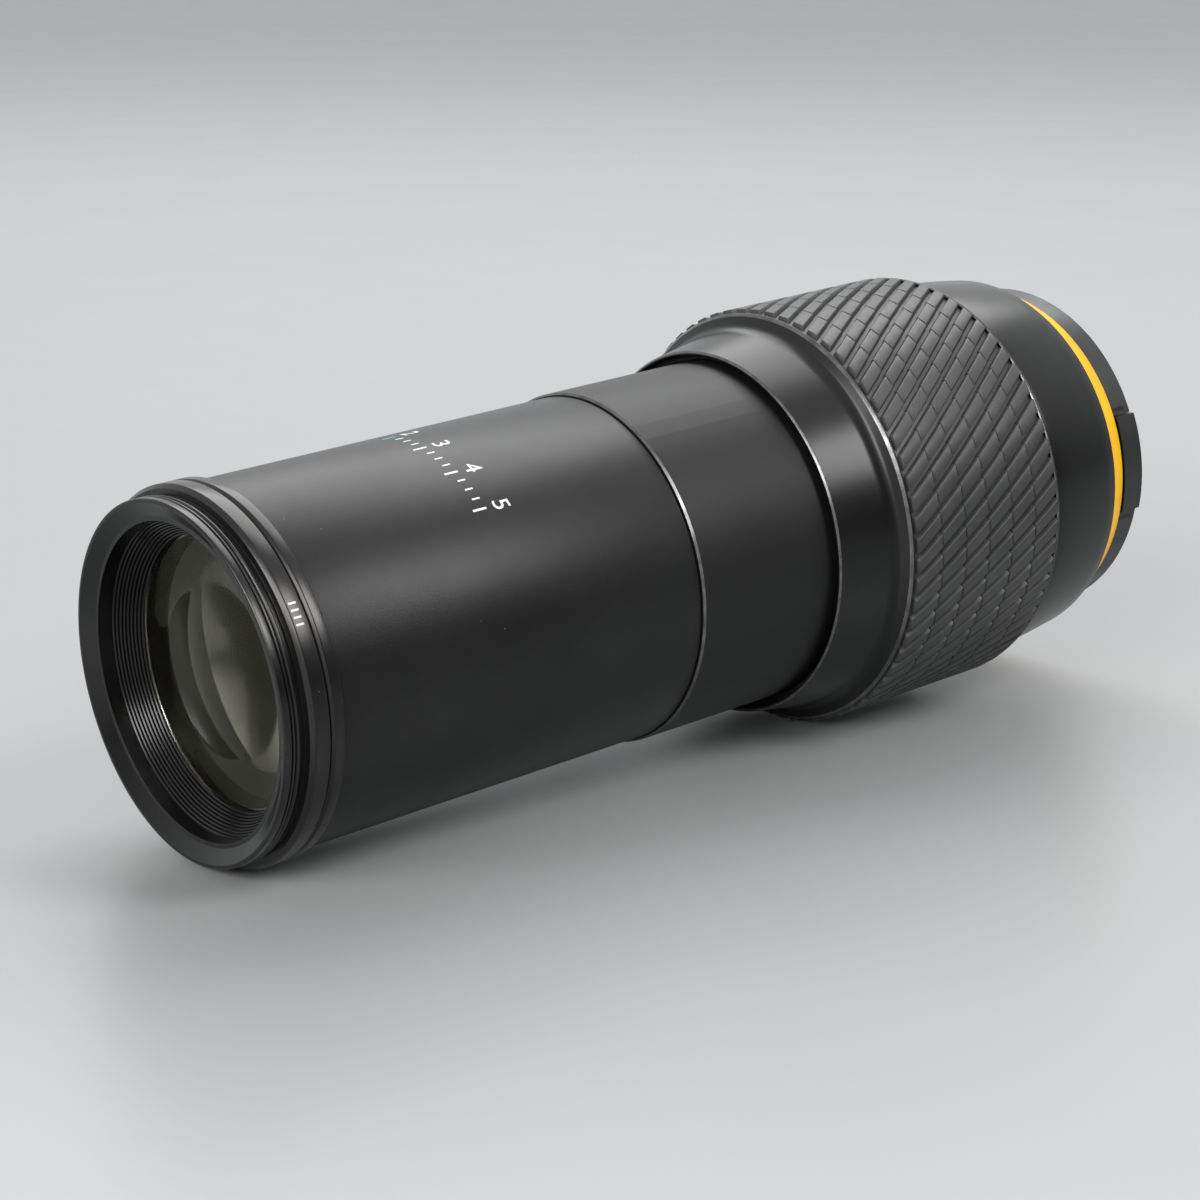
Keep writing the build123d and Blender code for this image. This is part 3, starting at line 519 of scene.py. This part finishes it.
for column in range(1, grip["columns"]):
    made = bmesh.ops.duplicate(bm, geom=source)
    bmesh.ops.translate(bm, vec=(column * grip["pitch"] * mm, 0, 0),
                        verts=[item for item in made["geom"] if isinstance(item, bmesh.types.BMVert)])
bmesh.ops.spin(bm, geom=bm.verts[:] + bm.edges[:] + bm.faces[:], cent=centre, axis=axis,
               angle=2 * pi * (grip["rows"] - 1) / grip["rows"], steps=grip["rows"] - 1,
               use_duplicate=True)
place(bm, "gripBars", "zoom_sleeve", None, ["gripCompound"], 50)
lathe("gripSleeve", [
    (grip["start"], grip["bore"], 0), (grip["start"], grip["base"], 0.1),
    (grip["end"], grip["base"], 0.1), (grip["end"], grip["bore"], 0)],
    "zoom_sleeve", ["grip_rubber"], ["gripCompound"])
print("zoom ring and grip made, faces on one bar:", barFaces)


# Objective barrel and the orange cone

front = {"start": 143.05, "bore": 28.3, "radius": 31.4, "edge": 0.3, "cone": 158.25, "coneRadius": 30.1,
         "coneStep": 0.22, "coneBore": 28.25, "face": 162.85, "faceRadius": 27.75, "threadStart": 158.85,
         "root": 26.0, "crest": 25.58, "spigot": 156.05, "shell": 26.42, "pitch": 0.75, "ridges": 5,
         "taper": ((4.0, 31.27), (7.6, 31.0), (11.3, 30.61)), "taperRounding": 1.5}  # from start, radius
f = front
barrelOutline = [(f["start"], f["bore"], 0), (f["start"], f["radius"] - f["edge"], 0.08),
                 (f["start"] + f["edge"], f["radius"], 0.15)]
barrelOutline += [(f["start"] + along, r, f["taperRounding"]) for along, r in f["taper"]]
barrelOutline += [(f["cone"], f["coneRadius"], 0.06), (f["cone"], f["bore"], 0)]
lathe("objectiveBarrel", barrelOutline, "carriage", ["objective_barrel"],
      ["satinPaint"])

coneOutline = [(f["spigot"], f["coneBore"], 0), (f["cone"], f["coneBore"], 0),
               (f["cone"], f["coneRadius"] - f["coneStep"], 0.05), (f["face"], f["faceRadius"], 0.12),
               (f["face"], f["root"], 0.1)]
coneThread = ridgeRow(f["threadStart"] + 0.25, f["pitch"], f["ridges"], f["root"], f["crest"], 0.04)
coneOutline += coneThread[::-1]
coneOutline += [(f["threadStart"], f["root"], 0), (f["threadStart"], f["shell"], 0),
                (f["spigot"], f["shell"], 0)]
lathe("orangeRing", coneOutline, "carriage", ["orange_ring"], ["flatBlack", "enamel"],
      paint=lambda x, r: f["cone"] + 0.05 < x < f["face"] - 0.05 and r > f["faceRadius"] - 0.1)
print("objective barrel and cone made")


# Glass elements

glassShared = {"bevel": 0.12, "backLand": 1.1, "frontLand": 1.1, "steps": 14, "roundSteps": 128}
glassSet = {
    "rearGlass": {"node": "rear_lens", "body": "rear_body", "x": 7.1, "edge": 3.2, "radius": 20.3,
                  "back": 3.0, "front": -1.4, "backLand": 0.35, "frontLand": 7.8},
    "rearInnerGlass": {"node": "rear_inner_lens", "body": "rear_body", "x": 35.0, "edge": 3.4,
                       "radius": 12.5, "back": 1.2, "front": -0.6},
    "groupFrontGlass": {"node": "variator_front_lens", "body": "inner_group", "x": 122.9, "edge": 3.0,
                        "radius": 21.95, "back": -0.7333, "front": -0.7333},
    "groupRearGlass": {"node": "variator_rear_lens", "body": "inner_group", "x": 128.3, "edge": 3.6,
                       "radius": 21.95, "back": -2.2, "front": 0.7333},
    "frontInnerGlass": {"node": "front_inner_lens", "body": "carriage", "x": 151.35, "edge": 2.6,
                        "radius": 25.5, "back": -1.0, "front": -0.5},
    "frontGlass": {"node": "front_lens", "body": "carriage", "x": 154.55, "edge": 3.4,
                   "radius": 25.5, "back": -0.25, "front": 2.4}}
for name, look in glassSet.items():
    lensElement(name, {**glassShared, **look})
print("glass made:", len(glassSet))


# CAD nodes that keep their shape get their finish

kept = {
    "cam_pins": "brassMetal", "rear_cell": "cellWall", "rear_spacer": "cellWall",
    "rear_retainer": "flatBlack", "glare_stop": "flatBlack", "variator_cell": "flatBlack",
    "variator_spacer": "flatBlack", "variator_retainer": "flatBlack", "variator_pins": "brassMetal",
    "carriage_tube": "flatBlack", "snap_ring": "steelMetal", "dust_seal": "feltFibre",
    "front_cell": "flatBlack", "front_spacer": "flatBlack", "front_retainer": "flatBlack",
    "cap_body": "capPlastic", "cap_plate": "capPlastic", "cap_tab_left": "capPlastic",
    "cap_tab_right": "capPlastic", "cap_springs": "steelMetal"}
for node, look in kept.items():
    for slotIndex in range(len(nodes[node].data.materials)):
        nodes[node].material_slots[slotIndex].material = finishes[look]
print("CAD nodes finished:", len(kept))


# Floor, lights, camera

studio = {"floorDrop": 26.98, "floorTilt": 3.336, "floorSize": 8.0, "floorColour": (0.33, 0.34, 0.34, 1),
          "floorRoughness": (0.30, 0.32), "floorGloss": 0.4, "worldColour": (0.97, 0.985, 1.0, 1),
          "fill": 0.36, "backdrop": 0.95, "darkSide": 0.035,
          "paperAt": (0.30, 0.60, 0.74), "paperFade": (-0.25, 0.45),
          "windowAt": (-0.80, -0.44, 0.40), "windowFade": (0.84, 0.92)}
floorUp = Vector((sin(radians(studio["floorTilt"])), 0, cos(radians(studio["floorTilt"]))))
bm = bmesh.new()
turnToFloor = Vector((0, 0, 1)).rotation_difference(floorUp).to_matrix().to_4x4()
bmesh.ops.create_grid(bm, x_segments=8, y_segments=8, size=studio["floorSize"] / 2,
                      matrix=Matrix.Translation(floorUp * -studio["floorDrop"] * mm) @ turnToFloor)
mesh = bpy.data.meshes.new("floor")
bm.to_mesh(mesh)
bm.free()
floor = bpy.data.objects.new("floor", mesh)
bpy.context.scene.collection.objects.link(floor)
floorMaterial, tree, shader, spot = newMaterial("paleFloor")
shader.inputs["Base Color"].default_value = studio["floorColour"]
floorHaze = spread(tree, noiseAt(tree, spot, 0.05, 3.0), *studio["floorRoughness"])
tree.links.new(floorHaze, shader.inputs["Roughness"])
shader.inputs["Specular IOR Level"].default_value = studio["floorGloss"]
mesh.materials.append(floorMaterial)

world = bpy.data.worlds.new("studio")
bpy.context.scene.world = world
world.use_nodes = True
tree = world.node_tree
background = tree.nodes["Background"]
background.inputs["Color"].default_value = studio["worldColour"]
rays = addNode(tree, "LightPath")
towards = addNode(tree, "TexCoord").outputs["Generated"]


def facing(direction):
    made = addNode(tree, "VectorMath", {0: towards, 1: direction}, operation="DOT_PRODUCT")
    return made.outputs["Value"]


# What shiny surfaces mirror: pale paper behind, a dark room in front, a window at the camera's left
paper = spread(tree, facing(studio["paperAt"]), studio["darkSide"], studio["backdrop"],
               *studio["paperFade"])
window = spread(tree, facing(studio["windowAt"]), 0, studio["backdrop"], *studio["windowFade"])
mirrored = mathOf(tree, "MAXIMUM", paper, window)
seen = mathOf(tree, "MAXIMUM", rays.outputs["Is Transmission Ray"], rays.outputs["Is Glossy Ray"])
strength = addNode(tree, "Mix", {"Factor": seen, "A": studio["fill"], "B": mirrored}).outputs["Result"]
strength = addNode(tree, "Mix", {"Factor": rays.outputs["Is Camera Ray"], "A": strength,
                                 "B": studio["backdrop"]}).outputs["Result"]
tree.links.new(strength, background.inputs["Strength"])

target = Vector((0.085, 0, 0))
softBoxes = (
    {"name": "overheadBox", "at": (0.50, 0.46, 0.80), "size": (1.0, 0.75), "watts": 10.0},
    {"name": "cameraSideBox", "at": (0.44, -0.66, 0.60), "size": (0.28, 0.40), "watts": 5.0},
    {"name": "leftBox", "at": (-0.76, -0.26, 0.48), "size": (0.9, 0.3), "watts": 10.0})
for box in softBoxes:
    light = bpy.data.lights.new(box["name"], "AREA")
    light.shape, light.energy = "RECTANGLE", box["watts"]
    light.size, light.size_y = box["size"]
    lamp = bpy.data.objects.new(box["name"], light)
    lamp.location = box["at"]
    lamp.rotation_euler = (target - Vector(box["at"])).to_track_quat("-Z", "Y").to_euler()
    bpy.context.scene.collection.objects.link(lamp)

view = {"at": (-0.190604, -0.325831, 0.127254), "right": (0.765837, -0.641554, -0.043617),
        "up": (0.225460, 0.204375, 0.952575), "ahead": (0.602214, 0.739351, -0.301162), "lens": 87.0}
cameraData = bpy.data.cameras.new("camera")
cameraData.lens, cameraData.sensor_width, cameraData.clip_start = view["lens"], 36.0, 0.01
camera = bpy.data.objects.new("camera", cameraData)
turned = Matrix((view["right"], view["up"], -Vector(view["ahead"]))).transposed().to_4x4()
camera.matrix_world = Matrix.Translation(view["at"]) @ turned
bpy.context.scene.collection.objects.link(camera)
bpy.context.scene.camera = camera
bpy.context.scene.view_settings.view_transform = "Standard"
print("studio made")
